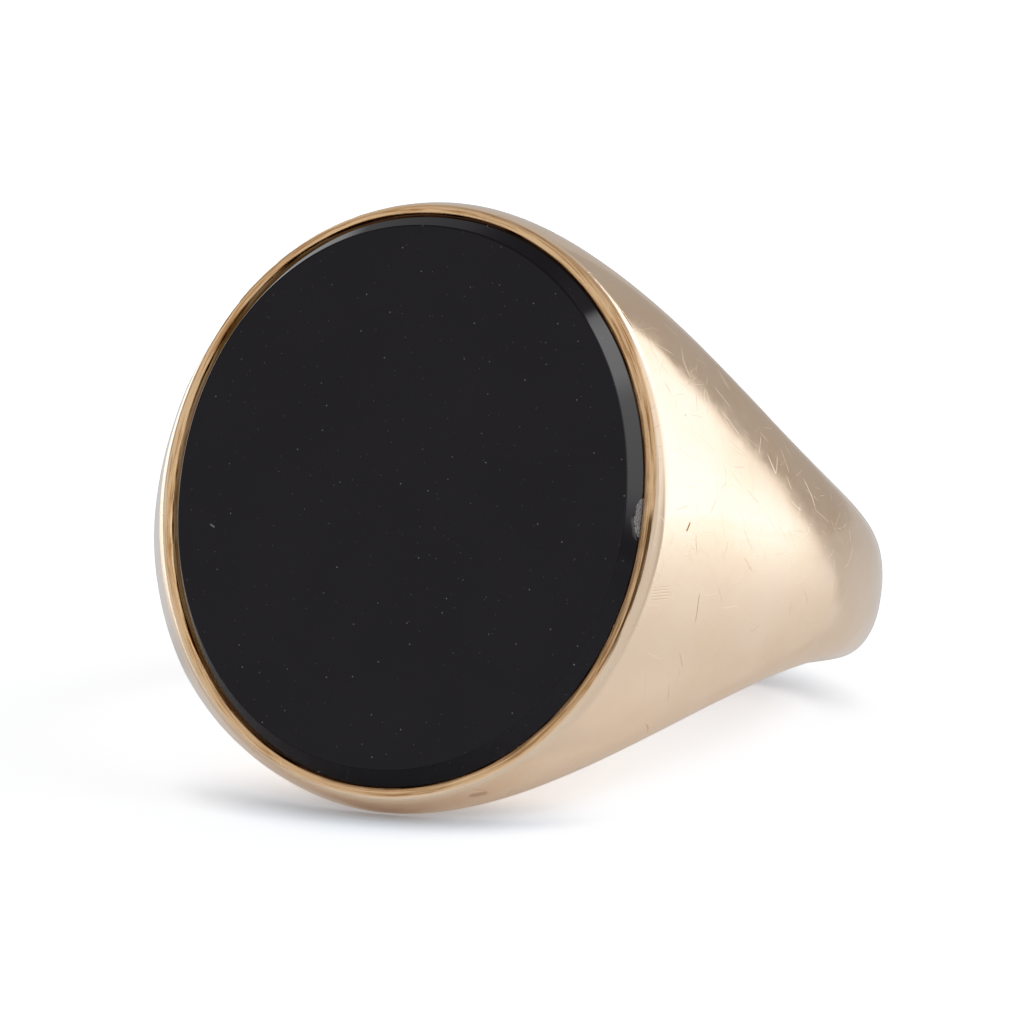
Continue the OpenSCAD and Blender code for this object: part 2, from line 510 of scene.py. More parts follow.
def make_gold(material, rim_material):
    """The rim, the body and the back of the hoop."""
    points, quads, regions, loops = gold_skin()
    points = worn(points, smooth_normals(points, quads))
    normals = smooth_normals(points, quads)

    pocket, seam = loops["pocket"], loops["seam"]
    a, b, c, d = pocket, np.roll(pocket, -1), np.roll(seam, -1), seam
    rim_cap = np.concatenate([np.stack([a, b, c], 1), np.stack([a, c, d], 1)])
    gold_piece("bezel_rim_gold", points, normals, quads[regions == "rim"], [rim_cap],
               rim_material, "bezel_rim")

    forward = np.array([0.0, -1.0, 0.0])
    points, head_cap = fan(seam, points, forward)
    caps = {"body": [head_cap], "back": []}
    for phi in (math.radians(JOINT_ANGLE), -math.radians(JOINT_ANGLE)):
        loop = section_loop(points, quads, regions, phi)
        onward = np.array([math.cos(phi), math.sin(phi), 0.0]) * np.sign(phi)
        points, cap = fan(loop, points, onward)
        caps["body"].append(cap)
        caps["back"].append(cap[:, ::-1])
    for name, region, node in (("ring_body_gold", "body", "ring_body"),
                               ("back_hoop_gold", "back", "back_hoop")):
        gold_piece(name, points, normals, quads[regions == region], caps[region],
                   material, node)


# -------------------------------- the onyx

STONE_COLUMNS = 640
ARRIS = 0.03           # rounding of the tablet's edges
BEVEL_STEPS = 10

# The chip in the bevel's foot, beside the rim: its middle and reach, as (level, z) in mm.
CHIP_MIDDLE = (-GIRDLE_DROP - 0.01, 0.08)
CHIP_REACH = (0.235, 0.60)
CHIP_DEPTH = 0.06


def stone_oval(theta, side, end, off, level):
    """A ring of points parallel to the tablet's outline, in ring coordinates."""
    rho = superellipse(STONE_W / 2 + side, STONE_L / 2 + end, STONE_N, off, theta)
    return on_face(rho, theta, level)


def tablet_rows():
    """The tablet from the middle of its underside round to the middle of its table."""
    theta = np.linspace(0, 2 * math.pi, STONE_COLUMNS, endpoint=False)
    table_level = BEVEL_H - GIRDLE_DROP
    table_off = np.add(STONE_OFF, TABLE_OFF)
    under = stone_oval(theta, -ARRIS, -ARRIS, STONE_OFF, SEAT_LEVEL)
    edge_low = stone_oval(theta, 0, 0, STONE_OFF, SEAT_LEVEL + ARRIS)
    edge_high = stone_oval(theta, 0, 0, STONE_OFF, -GIRDLE_DROP - ARRIS)
    girdle = stone_oval(theta, 0, 0, STONE_OFF, -GIRDLE_DROP)
    table = stone_oval(theta, -BEVEL_W[0], -BEVEL_W[1], table_off, table_level)
    middle = np.broadcast_to(table.mean(0), table.shape)
    fall = (table - girdle) / np.linalg.norm(table - girdle, axis=1, keepdims=True)
    inward = (middle - table) / np.linalg.norm(middle - table, axis=1, keepdims=True)
    bevel_low, bevel_high = girdle + fall * ARRIS, table - fall * ARRIS
    rows = [edge_low + (edge_high - edge_low) * k / 2 for k in range(3)]
    rows.insert(0, under)
    rows.extend(bezier(edge_high, girdle, bevel_low, 3))
    rows.extend(bevel_low + (bevel_high - bevel_low) * k / BEVEL_STEPS
                for k in range(1, BEVEL_STEPS + 1))
    flat = table + inward * ARRIS
    rows.extend(bezier(bevel_high, table, flat, 4))
    rows.extend(flat + (middle - flat) * share for share in (0.06, 0.2, 0.4, 0.6, 0.8, 0.95))
    return rows


def chipped(points):
    """Sinks the chip into the bevel's foot."""
    x, y, z = points.T
    level = (-y - FACE_H - CHIP_MIDDLE[0]) / CHIP_REACH[0]
    far = np.hypot(level, (z - CHIP_MIDDLE[1]) / CHIP_REACH[1])
    near = np.nonzero((x > 0) & (far < 1.1))[0]
    out = points.copy()
    for k in near:
        ragged = noise.noise(Vector(points[k]) * 6.0)
        depth = CHIP_DEPTH * max(0.0, 1 - far[k] + 0.4 * ragged)
        out[k] += np.array([-0.8, 0.6, 0.0]) * min(depth, CHIP_DEPTH * 0.6)
    return out


def make_onyx(material):
    """The bevelled tablet."""
    skin = Skin()
    index = skin.add(tablet_rows(), "stone", closed=True)
    points, quads, _, joined = skin.weld()
    points = chipped(points)
    quads = quads[:, ::-1]
    points, under = fan(joined[index[0]], points, np.array([0.0, 1.0, 0.0]))
    points, top = fan(joined[index[-1]], points, np.array([0.0, -1.0, 0.0]))
    polygons = [*quads, *under, *top]
    normals = smooth_normals(points, quads, under, top)
    piece("onyx_tablet_stone", points, polygons, [normals[p] for p in polygons],
          material, "onyx_tablet")


# -------------------------------- materials


class Graph:
    """Short ways to add nodes to a node tree and to join them."""

    def __init__(self, tree):
        self.nodes, self.links = tree.nodes, tree.links

    def add(self, kind, **settings):
        node = self.nodes.new(kind)
        for name, value in settings.items():
            setattr(node, name, value)
        return node

    def feed(self, socket, value):
        """Joins an output to an input, or sets the input to a number or a vector."""
        if isinstance(value, bpy.types.NodeSocket):
            self.links.new(value, socket)
        else:
            socket.default_value = value

    def math(self, operation, *values):
        node = self.add("ShaderNodeMath", operation=operation)
        for socket, value in zip(node.inputs, values):
            self.feed(socket, value)
        return node.outputs[0]

    def vector(self, operation, *values, output="Vector"):
        node = self.add("ShaderNodeVectorMath", operation=operation)
        for socket, value in zip(node.inputs, values):
            self.feed(socket, value)
        return node.outputs[output]

    def ramp(self, value, low, high, start, end):
        """Goes smoothly from start to end while the value goes from low to high."""
        node = self.add("ShaderNodeMapRange", interpolation_type="SMOOTHSTEP")
        for socket, given in zip(node.inputs, (value, low, high, start, end)):
            self.feed(socket, given)
        return node.outputs[0]

    def noise(self, vector, scale, detail=2, roughness=0.5, output=0):
        node = self.add("ShaderNodeTexNoise")
        for name, value in (("Vector", vector), ("Scale", scale), ("Detail", detail),
                            ("Roughness", roughness)):
            self.feed(node.inputs[name], value)
        return node.outputs[output]

    def blend(self, share, start, end):
        """A colour between two others."""
        node = self.add("ShaderNodeMix", data_type="RGBA")
        for index, value in ((0, share), (6, start), (7, end)):
            self.feed(node.inputs[index], value)
        return node.outputs[2]

    def largest(self, values):
        top = values[0]
        for value in values[1:]:
            top = self.math("MAXIMUM", top, value)
        return top

    def split(self, vector):
        node = self.add("ShaderNodeSeparateXYZ")
        self.feed(node.inputs[0], vector)
        return tuple(node.outputs)


def new_material(name):
    made = bpy.data.materials.new(name)
    made.use_nodes = True
    return made, made.node_tree.nodes


def add_bump(graph, shader, height, distance):
    """Raises the surface by height times distance, which is in mm."""
    bump = graph.add("ShaderNodeBump")
    bump.inputs["Strength"].default_value = 1
    bump.inputs["Distance"].default_value = distance * MM
    graph.feed(bump.inputs["Height"], height)
    graph.feed(shader.inputs["Normal"], bump.outputs[0])


def ring_place(graph):
    """The point being shaded, in ring coordinates and millimetres."""
    node = graph.add("ShaderNodeMapping")
    node.inputs["Rotation"].default_value = (TILT, 0, 0)
    node.inputs["Scale"].default_value = (1 / MM, 1 / MM, 1 / MM)
    graph.feed(node.inputs["Vector"], graph.add("ShaderNodeTexCoord").outputs["Object"])
    return node.outputs[0]


def bent(graph, place, scale, amount):
    """The place moved about a little, so that straight marks come out slightly curved."""
    drift = graph.vector("SUBTRACT", graph.noise(place, scale, 1, output=1), (0.5, 0.5, 0.5))
    return graph.vector("ADD", place, graph.vector("MULTIPLY", drift, (amount,) * 3))


def cells(graph, place, cell, share, seed, flat=False):
    """Scatters centres about one cell apart. Gives the way from the nearest one, in cells,
    its random colour, and 1 where that centre is among the share that has a mark."""
    moved = graph.vector("ADD", graph.vector("MULTIPLY", place, (1 / cell,) * 3),
                         (seed, seed * 1.7, seed * 0.6))
    node = graph.add("ShaderNodeTexVoronoi", voronoi_dimensions="2D" if flat else "3D")
    graph.feed(node.inputs["Vector"], moved)
    node.inputs["Scale"].default_value = 1
    centre = node.outputs["Position"]
    chance = graph.add("ShaderNodeTexWhiteNoise")
    graph.feed(chance.inputs["Vector"], centre)
    marked = graph.math("LESS_THAN", chance.outputs["Value"], share)
    away = graph.vector("SUBTRACT", moved, centre)
    if flat:
        away = graph.vector("MULTIPLY", away, (1, 1, 0))
    return away, node.outputs["Color"], marked


def scratches(graph, place, cell, half_length, width, share, seed):
    """Fine straight scratches in all directions: each cell holds a thin disc that stands at
    random, and the surface shows where it cuts the disc."""
    away, colour, marked = cells(graph, place, cell, share, seed)
    facing = graph.vector("NORMALIZE", graph.vector("SUBTRACT", colour, (0.5, 0.5, 0.5)))
    beside = graph.math("ABSOLUTE", graph.vector("DOT_PRODUCT", away, facing, output="Value"))
    line = graph.ramp(beside, 0, width / cell, 1, 0)
    reach = half_length / cell
    ends = graph.ramp(graph.vector("LENGTH", away, output="Value"), reach / 2, reach, 1, 0)
    return graph.math("MULTIPLY", graph.math("MULTIPLY", line, ends), marked)


def specks(graph, place, cell, radius, share, seed, flat=False):
    """Small round specks, some of them much fainter than others."""
    away, colour, marked = cells(graph, place, cell, share, seed, flat)
    length = graph.vector("LENGTH", away, output="Value")
    spot = graph.ramp(length, radius / cell / 3, radius / cell, 1, 0)
    strength = graph.ramp(graph.split(colour)[0], 0.2, 1, 0.15, 1)
    return graph.math("MULTIPLY", graph.math("MULTIPLY", spot, marked), strength)


def placed_mark(graph, place, centre, facing, half_length, width):
    """One mark at a known place, across which facing points."""
    away = graph.vector("SUBTRACT", place, centre)
    beside = graph.math("ABSOLUTE", graph.vector("DOT_PRODUCT", away, facing, output="Value"))
    line = graph.ramp(beside, width / 3, width, 1, 0)
    length = graph.vector("LENGTH", away, output="Value")
    return graph.math("MULTIPLY", line, graph.ramp(length, half_length / 2, half_length, 1, 0))


# Scratches of each kind: cell, half length and width in mm, share of cells, and seed.
SCRATCHES = {"hair": (0.6, 0.5, 0.007, 0.95, 3.3), "fine": (1.0, 0.55, 0.009, 0.8, 17.9),
             "short": (1.25, 0.34, 0.012, 0.6, 41.3), "long": (3.2, 0.9, 0.011, 0.5, 29.3)}
PITS = (0.8, 0.035, 0.3, 7.7)      # cell and radius in mm, share of cells, and seed
# How deep each kind of mark is, how brown it is, and how much duller it makes the gold.
DEPTHS = {"hair": 0.45, "fine": 0.7, "short": 0.75, "long": 0.45, "pits": 1.0, "own": 1.6}
STAINS = {"short": 0.6, "own": 1, "long": 0.25, "pits": 0.6}
DULLING = {"hair": 0.10, "fine": 0.18}

# The ring's own marks, in ring coordinates: centre, direction across, half length, width.
NICK = ((7.747, -9.027, 0.02), (-0.361, -0.851, 0.378), 0.19, 0.04)
SMEAR = ((2.78, -9.56, -7.84), (0.27, -0.90, 0.34), 0.33, 0.17)
SMEAR_SHARE = 0.45
DENT = ((5.56, -9.82, 5.51), (0.262, 0.919, 0.293), 0.33, 0.035)
LONG_SCRATCH = ((7.93, -7.97, -2.05), (0.386, 0.905, 0.19), 0.5, 0.012)
GRAZE = ((7.34, -9.5, -1.9), (0.083, -0.275, 0.958), 0.5, 0.014)
GRAZE_STEP = 0.085                 # from one line of the graze to the next
GRAZE_LINES = 5
GRAZE_SHARE = 0.5
SMUDGE = ((10.03, -1.9, -0.71), 0.5, 0.16)   # centre, radius and strength of a soft stain
STONE_NICK = ((-5.51, -10.45, -1.12), (0.5, 0, 0.86), 0.1, 0.035)

GOLD_COLOUR = (0.93, 0.71, 0.53, 1)
GOLD_SHADE = (0.90, 0.67, 0.48, 1)
BROWN = (0.34, 0.20, 0.10, 1)
# Painted reflection: the slope round the stone is painted this deeper tan, as gold looks where it
# reflects gold, with brown streaks in it.
PAINTED_SLOPE_REFLECTION = (0.92, 0.60, 0.35, 1)
SLOPE_BROWN = (0.50, 0.27, 0.12, 1)
# Painted shade of a groove at the slope's lower right.
GROOVE_SHADE = (0.10, 0.06, 0.035, 1)
# Painted shade along the slope's foot, where the rim meets the stone.
FOOT_SHADE = (0.12, 0.07, 0.04, 1)


def stand_off(graph, place):
    """How far a place is outside the stone's oval, in mm, and its direction round it."""
    x, _, z = graph.split(place)
    x = graph.math("SUBTRACT", x, STONE_OFF[0])
    z = graph.math("SUBTRACT", z, STONE_OFF[1])
    total = None
    for value, half in ((x, STONE_W / 2), (z, STONE_L / 2)):
        power = graph.math("POWER", graph.math("ABSOLUTE", graph.math("DIVIDE", value, half)),
                           STONE_N)
        total = power if total is None else graph.math("ADD", total, power)
    share = graph.math("SUBTRACT", graph.math("POWER", total, 1 / STONE_N), 1)
    out = graph.math("MULTIPLY", share, (STONE_W + STONE_L) / 4)
    way = graph.add("ShaderNodeCombineXYZ")
    graph.feed(way.inputs[0], x)
    graph.feed(way.inputs[2], z)
    return out, graph.vector("NORMALIZE", way.outputs[0])


def graze(graph, place):
    """A few fine scratches side by side."""
    centre, facing, half_length, width = GRAZE
    lines = []
    for k in range(GRAZE_LINES):
        shift = (k - GRAZE_LINES // 2) * GRAZE_STEP
        start = tuple(c + f * shift for c, f in zip(centre, facing))
        lines.append(placed_mark(graph, place, start, facing, half_length, width))
    return graph.largest(lines)


def gold_marks(graph, place):
    """The gold's marks by kind, each 1 on a mark and 0 off it."""
    soft_place = bent(graph, place, 0.5, 0.5)
    marks = {kind: scratches(graph, soft_place, *size) for kind, size in SCRATCHES.items()}
    marks["pits"] = specks(graph, place, *PITS)
    own = [placed_mark(graph, place, *mark) for mark in (NICK, LONG_SCRATCH, DENT)]
    smear = graph.math("MULTIPLY", placed_mark(graph, place, *SMEAR), SMEAR_SHARE)
    lines = graph.math("MULTIPLY", graze(graph, place), GRAZE_SHARE)
    marks["own"] = graph.largest([*own, smear, lines])
    return marks


def in_shares(graph, marks, shares):
    """Some kinds of mark, each times its share."""
    return [graph.math("MULTIPLY", marks[kind], share) for kind, share in shares.items()]


def smudge_share(graph, place, mist):
    """A soft brown stain near the end of the right shoulder."""
    centre, radius, strength = SMUDGE
    far = graph.vector("LENGTH", graph.vector("SUBTRACT", place, centre), output="Value")
    ragged = graph.math("ADD", far, graph.ramp(mist, 0.3, 0.7, -0.1, 0.1))
    return graph.ramp(ragged, 0.1, radius, strength, 0)


def worn_gold(graph, place):
    """Colour, roughness and height of polished gold with the marks of long wear."""
    marks = gold_marks(graph, place)
    mist = graph.noise(place, 1.6, 5, 0.65)
    tone = graph.ramp(graph.noise(place, 0.45, 4, 0.6), 0.35, 0.7, 0, 1)
    stain = graph.largest([*in_shares(graph, marks, STAINS), smudge_share(graph, place, mist)])
    colour = graph.blend(stain, graph.blend(tone, GOLD_COLOUR, GOLD_SHADE), BROWN)

    roughness = graph.ramp(mist, 0.3, 0.75, 0.085, 0.17)
    lines = graph.largest(in_shares(graph, marks, DULLING))
    roughness = graph.math("ADD", roughness, lines)
    roughness = graph.math("MAXIMUM", roughness, graph.math("MULTIPLY", stain, 0.5))

    height = graph.math("MULTIPLY", graph.noise(place, 0.9, 3, 0.5), 0.9)
    for kind, depth in DEPTHS.items():
        height = graph.math("SUBTRACT", height, graph.math("MULTIPLY", marks[kind], depth))
    return colour, roughness, height


def groove_shade_share(graph, out, way, streak):
    """Painted shade of a groove in the slope's outer edge, at the lower right: only the colour is
    darkened there.
    """
    side, _, rise = graph.split(way)
    low_right = graph.math("MULTIPLY", graph.ramp(rise, -0.62, -0.40, 0, 1),
                           graph.ramp(rise, -0.02, 0.06, 1, 0))
    low_right = graph.math("MULTIPLY", low_right, graph.math("GREATER_THAN", side, 0))
    ragged = graph.math("ADD", out, graph.ramp(streak, 0.35, 0.65, -0.04, 0.04))
    groove = graph.math("MULTIPLY", graph.ramp(out, 0.19, 0.23, 0, 1),
                        graph.ramp(ragged, 0.29, 0.33, 1, 0))
    return graph.math("MULTIPLY", graph.math("MULTIPLY", groove, low_right), 0.9)


def burnish_and_reflection_share(graph, out, way):
    """1 on the slope, rougher from burnishing and coloured with a painted reflection; the painting
    is wider on the right and most of all higher up.
    """
    side, _, rise = graph.split(way)
    wider = graph.math("MULTIPLY", graph.ramp(side, 0.2, 0.7, 0, 1),
                       graph.ramp(rise, -0.3, 0.2, 0.08, 0.17))
    return graph.ramp(graph.math("SUBTRACT", out, wider), 0.17, 0.25, 1, 0)


def burnish_with_painted_light(graph, place, colour, roughness, height):
    """Adds the slope worked down to the stone by burnishing: rougher and ridged, and painted tan
    with brown streaks as a painted reflection; with painted shade of a groove at the lower right and
    painted shade along its foot."""
    out, way = stand_off(graph, place)
    across = graph.add("ShaderNodeCombineXYZ")
    graph.feed(across.inputs[1], graph.math("MULTIPLY", out, 16))
    along = graph.vector("MULTIPLY", way, (4.5, 4.5, 4.5))
    streak = graph.noise(graph.vector("ADD", along, across.outputs[0]), 1, 4, 0.6)

    # Painted reflection: the slope is painted tan with brown streaks, wider on the right and higher
    # up; its roughness and ridges come from the burnishing.
    slope = burnish_and_reflection_share(graph, out, way)
    tan = graph.blend(graph.ramp(streak, 0.46, 0.66, 0, 1), PAINTED_SLOPE_REFLECTION, SLOPE_BROWN)
    colour = graph.blend(slope, colour, tan)
    # painted shade of a groove at the lower right, in the colour only
    colour = graph.blend(groove_shade_share(graph, out, way, streak), colour, GROOVE_SHADE)
    rough_slope = graph.math("MULTIPLY", slope, graph.ramp(streak, 0.3, 0.7, 0.16, 0.32))
    roughness = graph.math("MAXIMUM", roughness, rough_slope)
    ridges = graph.math("MULTIPLY", streak, graph.ramp(out, 0.3, 0.6, 2.2, 0.5))
    height = graph.math("ADD", height, ridges)

    # Painted shade along the slope's foot, where the rim meets the stone: darkest at the foot, and
    # rougher there as well.
    foot = graph.math("ADD", out, graph.ramp(streak, 0.3, 0.7, 0.03, -0.03))
    foot_shade = graph.ramp(foot, -0.035, 0.01, 0.85, 0)
    colour = graph.blend(foot_shade, colour, FOOT_SHADE)
    roughness = graph.math("MAXIMUM", roughness, graph.math("MULTIPLY", foot_shade, 0.6))
    return colour, roughness, height


def gold_material(name, rim=False):
    """Worn polished gold. The rim's has the slope round the stone as well: its burnishing, a painted
    reflection and painted shade.
    """
    made, nodes = new_material(name)
    graph = Graph(made.node_tree)
    shader = nodes["Principled BSDF"]
    shader.inputs["Metallic"].default_value = 1
    place = ring_place(graph)
    looks = worn_gold(graph, place)
    if rim:
        looks = burnish_with_painted_light(graph, place, *looks)
    colour, roughness, height = looks
    graph.feed(shader.inputs["Base Color"], colour)
    graph.feed(shader.inputs["Roughness"], roughness)
    add_bump(graph, shader, height, 0.0035)
    return made


def chip_share_nodes(graph, place):
    """1 inside the chip, with a ragged edge."""
    x, y, z = graph.split(place)
    level = graph.math("SUBTRACT", graph.math("MULTIPLY", y, -1), FACE_H + CHIP_MIDDLE[0])
    level = graph.math("DIVIDE", level, CHIP_REACH[0])
    z = graph.math("DIVIDE", graph.math("SUBTRACT", z, CHIP_MIDDLE[1]), CHIP_REACH[1])
    far = graph.math("SQRT", graph.math("ADD", graph.math("POWER", graph.math("ABSOLUTE", level), 2),
                                        graph.math("POWER", graph.math("ABSOLUTE", z), 2)))
    ragged = graph.math("MULTIPLY", graph.noise(place, 7, 4, 0.6), 0.7)
    far = graph.math("ADD", far, ragged)
    inside = graph.ramp(far, 1.22, 1.32, 1, 0)
    return graph.math("MULTIPLY", inside, graph.math("GREATER_THAN", x, 0))


ONYX_COLOUR = (0.0033, 0.0014, 0.0040, 1)
ONYX_SHADE = (0.0049, 0.0028, 0.0058, 1)
SPECK_COLOUR = (0.16, 0.155, 0.165, 1)
CHIP_DARK = (0.09, 0.088, 0.092, 1)
CHIP_PALE = (0.50, 0.495, 0.505, 1)
CEMENT_DARK = (0.03, 0.02, 0.014, 1)
CEMENT_PALE = (0.09, 0.065, 0.045, 1)
ONYX_SPECKS = (0.8, 0.027, 0.6, 5.1)          # as PITS
ONYX_FAINT_SPECKS = (0.42, 0.021, 0.5, 23.7)
ONYX_SCRATCHES = (2.6, 1.6, 0.01, 0.5, 11.9)  # as SCRATCHES


def onyx_material():
    """Polished black onyx: faint scratches, a few pale specks, and a grey rough chip."""
    made, nodes = new_material("black_onyx")
    graph = Graph(made.node_tree)
    shader = nodes["Principled BSDF"]
    shader.inputs["IOR"].default_value = 1.54
    place = ring_place(graph)
    x, _, z = graph.split(place)
    flat = graph.add("ShaderNodeCombineXYZ")
    graph.feed(flat.inputs[0], x)
    graph.feed(flat.inputs[1], z)
    dust = specks(graph, flat.outputs[0], *ONYX_SPECKS, flat=True)
    faint = specks(graph, flat.outputs[0], *ONYX_FAINT_SPECKS, flat=True)
    hair = scratches(graph, bent(graph, place, 0.3, 0.8), *ONYX_SCRATCHES)
    chip = chip_share_nodes(graph, place)
    cloud = graph.noise(place, 0.35, 3, 0.55)
    colour = graph.blend(graph.ramp(cloud, 0.3, 0.75, 0, 1), ONYX_COLOUR, ONYX_SHADE)
    nick = placed_mark(graph, place, *STONE_NICK)
    pale = graph.largest([dust, graph.math("MULTIPLY", faint, 0.4), nick])
    colour = graph.blend(pale, colour, SPECK_COLOUR)
    grain = graph.noise(place, 26, 3, 0.75)
    chip_colour = graph.blend(graph.ramp(grain, 0.35, 0.7, 0, 1), CHIP_DARK, CHIP_PALE)
    colour = graph.blend(chip, colour, chip_colour)
    roughness = graph.ramp(graph.noise(place, 0.8, 4, 0.6), 0.3, 0.75, 0.035, 0.075)
    roughness = graph.math("MAXIMUM", roughness, graph.math("MULTIPLY", chip, 0.55))
    roughness = graph.math("MAXIMUM", roughness, graph.math("MULTIPLY", pale, 0.4))
    height = graph.math("SUBTRACT", graph.math("MULTIPLY", graph.math("MULTIPLY", grain, chip), 9),
                        graph.math("MULTIPLY", hair, 0.25))
    graph.feed(shader.inputs["Base Color"], colour)
    graph.feed(shader.inputs["Roughness"], roughness)
    add_bump(graph, shader, height, 0.003)
    return made


def cement_material():
    """Dark setting cement, grainy and dull."""
    made, nodes = new_material("setting_cement")
    graph = Graph(made.node_tree)
    shader = nodes["Principled BSDF"]
    place = ring_place(graph)
    grain = graph.noise(place, 6, 5, 0.65)
    graph.feed(shader.inputs["Base Color"], graph.blend(grain, CEMENT_DARK, CEMENT_PALE))
    graph.feed(shader.inputs["Roughness"], graph.ramp(grain, 0.3, 0.7, 0.65, 0.9))
    add_bump(graph, shader, grain, 0.02)
    return made


# -------------------------------- studio

CAMERA_AZIMUTH = math.radians(19.5)
CAMERA_ELEVATION = math.radians(12.87)
CAMERA_DISTANCE = 350
FRAME_W = 28.16                    # what the frame takes in at the face, in mm
AIM_SHIFT = (2.784, -0.265)        # of the frame's middle from the face's, in mm


def point_to(obj, target):
    obj.rotation_euler = (target - obj.location).to_track_quat("-Z", "Y").to_euler()


def make_camera():
    data = bpy.data.cameras.new("camera")
    camera = bpy.data.objects.new("camera", data)
    bpy.context.scene.collection.objects.link(camera)
    face = Vector(to_frame(np.array([[0.0, -(FACE_H - GIRDLE_DROP), 0.0]]))[0])
    a, e = CAMERA_AZIMUTH, CAMERA_ELEVATION
    back = Vector((math.sin(a) * math.cos(e), -math.cos(a) * math.cos(e), math.sin(e)))
    right = Vector((math.cos(a), math.sin(a), 0))
    up = back.cross(right)
    camera.location = face + back * CAMERA_DISTANCE * MM
    point_to(camera, face + (right * AIM_SHIFT[0] + up * AIM_SHIFT[1]) * MM)
    data.sensor_width = 36
    data.lens = data.sensor_width * CAMERA_DISTANCE / FRAME_W
    data.clip_start, data.clip_end = 0.01, 10
    bpy.context.scene.camera = camera


FLOOR_HALF = 1.0                   # half the floor's side, in metres
FLOOR_COLOUR = (0.915, 0.94, 0.97, 1)   # what the floor gives back to the ring
FLOOR_GLOSS = 0.12                 # roughness of its sheen
CONTACT_REACH = 2.5                # how far its contact shadow reaches, in mm
FLOOR_SHADE = (0.98, 1.12, 1.28, 1)     # what it gives the camera in that shadow
FLOOR_WHITE = (2.05, 2.14, 2.25, 1)     # and elsewhere: the backdrop is burnt out
ROOM_LEVEL = 0.58                  # brightness of the room round the ring
CEILING_LEVEL = 0.42
CEILING_STARTS = (56, 64)

# Soft boxes and dark cards round the ring: azimuths (0 in front, 90 on the right) and
# elevations in degrees, softness of the sides and of the top and bottom in degrees, and
# brightness added to the room's.
PANELS = (
    ("back_left_strip", (-142, -114), (0, 32), 7, 7, 0.85),
    ("left_strip", (-124, -60), (-4, 14), 10, 7, 1.35),
    ("dark_card", (-112, -38), (21, 46), 9, 9, -0.26),
    ("front_fill", (-38, 60), (0, 32), 12, 10, 0.14),
    ("bright_band", (98, 126), (34, 50), 12, 8, 0.9),
    ("back_wall", (139, 190), (-2, 34), 3, 10, -0.15),
    ("back_wall_left", (-190, -146), (-2, 24), 10, 10, -0.06),
)
# The big soft box stands on the right. Its lower edge falls from one azimuth to another.
BOX_ACROSS = (8, 139.5)
BOX_TOP = 51.5
BOX_FALL = ((58, 118), (27, -12))
BOX_BLUR = (4, 2.5, 16)            # of its sides, top and bottom
BOX_GAIN = (0.50, 1.5)             # at the ends of that fall
BOX_FADE = ((122, 139), (5, 17), (0.42, 0.8))   # towards its right end, by elevation
BOX_LEAN = ((12, 27), 8.5, -4)     # its right end leans out as it rises, by up to 8.5

# The film crushes the darkest tones and rolls off the highlights: scene brightness and
# what it comes out as.
FILM = ((0.02, 0.006), (0.06, 0.047), (0.2, 0.193), (0.45, 0.447), (0.72, 0.675),
        (0.92, 0.825), (1.07, 0.92), (1.2, 0.98), (1.4, 1.0), (2.0, 1.0))


def floor_material():
    """White acrylic. The photographer's backdrop is burnt out to white, so that the camera
    sees the floor brighter than the ring does."""
    made, nodes = new_material("white_floor")
    links = made.node_tree.links
    nodes.clear()
    acrylic = nodes.new("ShaderNodeBsdfPrincipled")
    acrylic.inputs["Base Color"].default_value = FLOOR_COLOUR
    acrylic.inputs["Roughness"].default_value = FLOOR_GLOSS
    burnt_out = nodes.new("ShaderNodeBsdfDiffuse")
    near = nodes.new("ShaderNodeAmbientOcclusion")
    near.samples = 16
    near.inputs["Color"].default_value = (1, 1, 1, 1)
    near.inputs["Distance"].default_value = CONTACT_REACH * MM
    graph = Graph(made.node_tree)
    open_air = graph.ramp(near.outputs["AO"], 0.35, 1, 0, 1)
    graph.feed(burnt_out.inputs["Color"], graph.blend(open_air, FLOOR_SHADE, FLOOR_WHITE))
    mix = nodes.new("ShaderNodeMixShader")
    links.new(nodes.new("ShaderNodeLightPath").outputs["Is Camera Ray"], mix.inputs[0])
    links.new(acrylic.outputs[0], mix.inputs[1])
    links.new(burnt_out.outputs[0], mix.inputs[2])
    links.new(mix.outputs[0], nodes.new("ShaderNodeOutputMaterial").inputs["Surface"])
    return made


def make_floor():
    mesh = bpy.data.meshes.new("floor")
    half, z = FLOOR_HALF, cad_box[0].z
    mesh.from_pydata([(-half, -half, z), (half, -half, z), (half, half, z), (-half, half, z)],
                     [], [(0, 1, 2, 3)])
    mesh.materials.append(floor_material())
    floor = bpy.data.objects.new("floor", mesh)
    bpy.context.scene.collection.objects.link(floor)


def radians(*angles):
    return [math.radians(angle) for angle in angles]


def window(graph, angle, span, blur):
    """1 while an angle is inside a span and 0 outside, with blurred ends, in degrees."""
    low, high, blur = radians(*span, blur)
    rise = graph.ramp(angle, low - blur / 2, low + blur / 2, 0, 1)
    fall = graph.ramp(angle, high - blur / 2, high + blur / 2, 1, 0)
    return graph.math("MULTIPLY", rise, fall)


def box_end(graph, azimuth, elevation):
    """The azimuth, turned back by as much as the box's right end leans out."""
    low, high = radians(*BOX_LEAN[0])
    most, least = radians(*BOX_LEAN[1:])
    way = graph.math("DIVIDE", graph.math("SUBTRACT", elevation, low), high - low)
    lean = graph.math("MINIMUM", graph.math("MULTIPLY", way, most), most)
    return graph.math("SUBTRACT", azimuth, graph.math("MAXIMUM", lean, least))


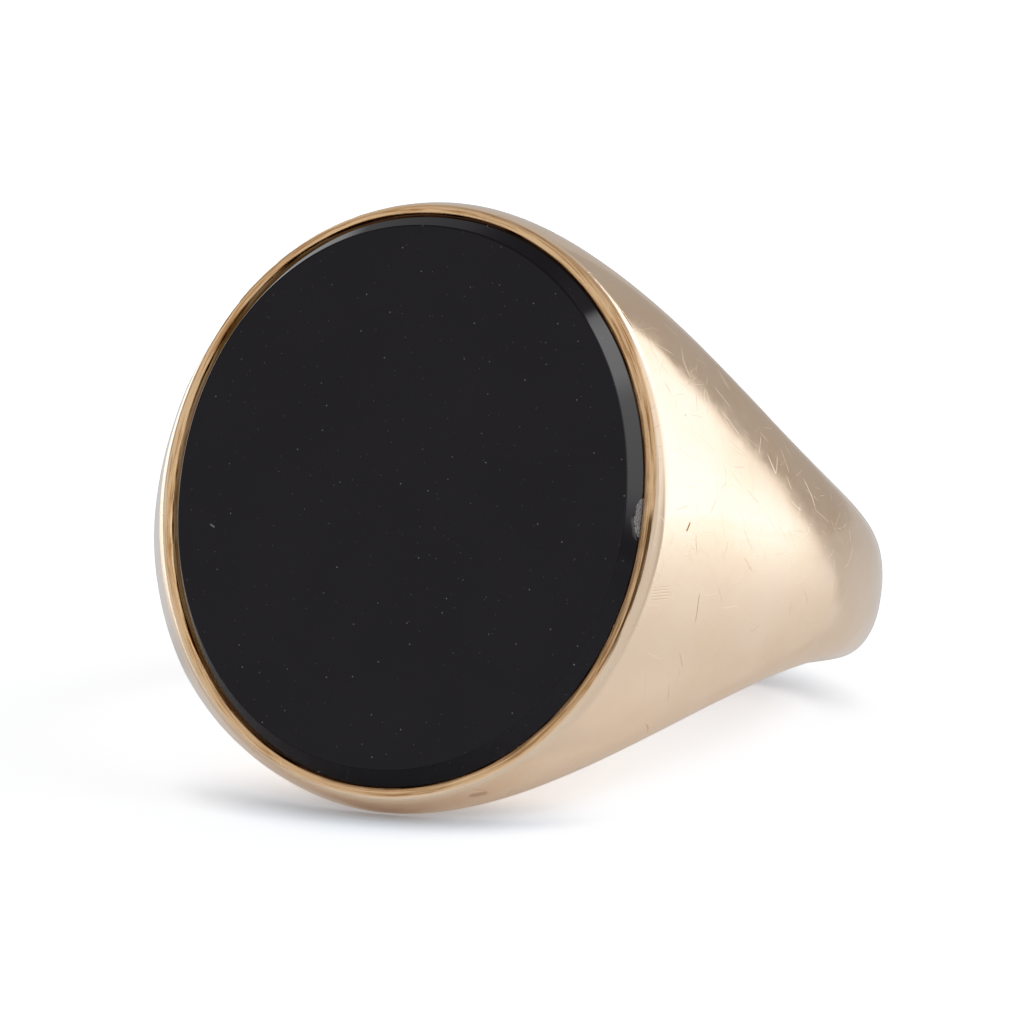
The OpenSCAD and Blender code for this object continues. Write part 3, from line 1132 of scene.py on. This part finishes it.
def box_light(graph, azimuth, elevation):
    """What the big soft box adds to the room's brightness."""
    side_blur, top_blur, foot_blur = (blur / 2 for blur in radians(*BOX_BLUR))
    left, right = radians(*BOX_ACROSS)
    top = math.radians(BOX_TOP)
    start, end = radians(*BOX_FALL[0])
    foot = graph.ramp(azimuth, start, end, *radians(*BOX_FALL[1]))
    over = graph.math("SUBTRACT", elevation, foot)
    leaning = box_end(graph, azimuth, elevation)
    fade, height = (radians(*span) for span in BOX_FADE[:2])
    kept = graph.ramp(elevation, *height, *BOX_FADE[2])
    shares = (
        graph.ramp(over, -foot_blur, foot_blur, 0, 1),
        graph.ramp(elevation, top - top_blur, top + top_blur, 1, 0),
        graph.ramp(azimuth, left - side_blur, left + side_blur, 0, 1),
        graph.ramp(leaning, right - side_blur, right + side_blur, 1, 0),
        graph.ramp(azimuth, start, end, *BOX_GAIN),
        graph.ramp(azimuth, *fade, 1, kept),
    )
    light = shares[0]
    for share in shares[1:]:
        light = graph.math("MULTIPLY", light, share)
    return light


def make_world():
    """The room, its ceiling, and the panels, all by their direction from the ring."""
    world = bpy.data.worlds.new("studio")
    world.use_nodes = True
    graph = Graph(world.node_tree)
    x, y, z = graph.split(graph.add("ShaderNodeTexCoord").outputs["Generated"])
    azimuth = graph.math("ARCTAN2", x, graph.math("MULTIPLY", y, -1))
    elevation = graph.math("ARCSINE", z)
    level = graph.ramp(elevation, *radians(*CEILING_STARTS), ROOM_LEVEL, CEILING_LEVEL)
    for _, across, upright, side_blur, end_blur, gain in PANELS:
        share = graph.math("MULTIPLY", window(graph, azimuth, across, side_blur),
                           window(graph, elevation, upright, end_blur))
        level = graph.math("ADD", level, graph.math("MULTIPLY", share, gain))
    level = graph.math("ADD", level, box_light(graph, azimuth, elevation))
    background = world.node_tree.nodes["Background"]
    world.node_tree.links.new(level, background.inputs["Color"])
    bpy.context.scene.world = world


def make_film():
    """A plain view of the scene, with highlights that roll off softly."""
    view = bpy.context.scene.view_settings
    view.view_transform = "Standard"
    view.use_curve_mapping = True
    mapping = view.curve_mapping
    mapping.white_level = [FILM[-1][0]] * 3
    curve = mapping.curves[3]
    for level, result in FILM[:-1]:
        curve.points.new(level / FILM[-1][0], result)
    for point in curve.points:
        point.handle_type = "AUTO_CLAMPED"
    mapping.update()


# -------------------------------- the scene

gold = gold_material("worn_gold")
make_gold(gold, gold_material("worn_gold_rim", rim=True))
make_onyx(onyx_material())
for node, material in (("seat_bearer", gold), ("cement_bed", cement_material())):
    slots = frame["nodes"][node].data.materials
    slots.clear()
    slots.append(material)
make_camera()
make_floor()
make_world()
make_film()
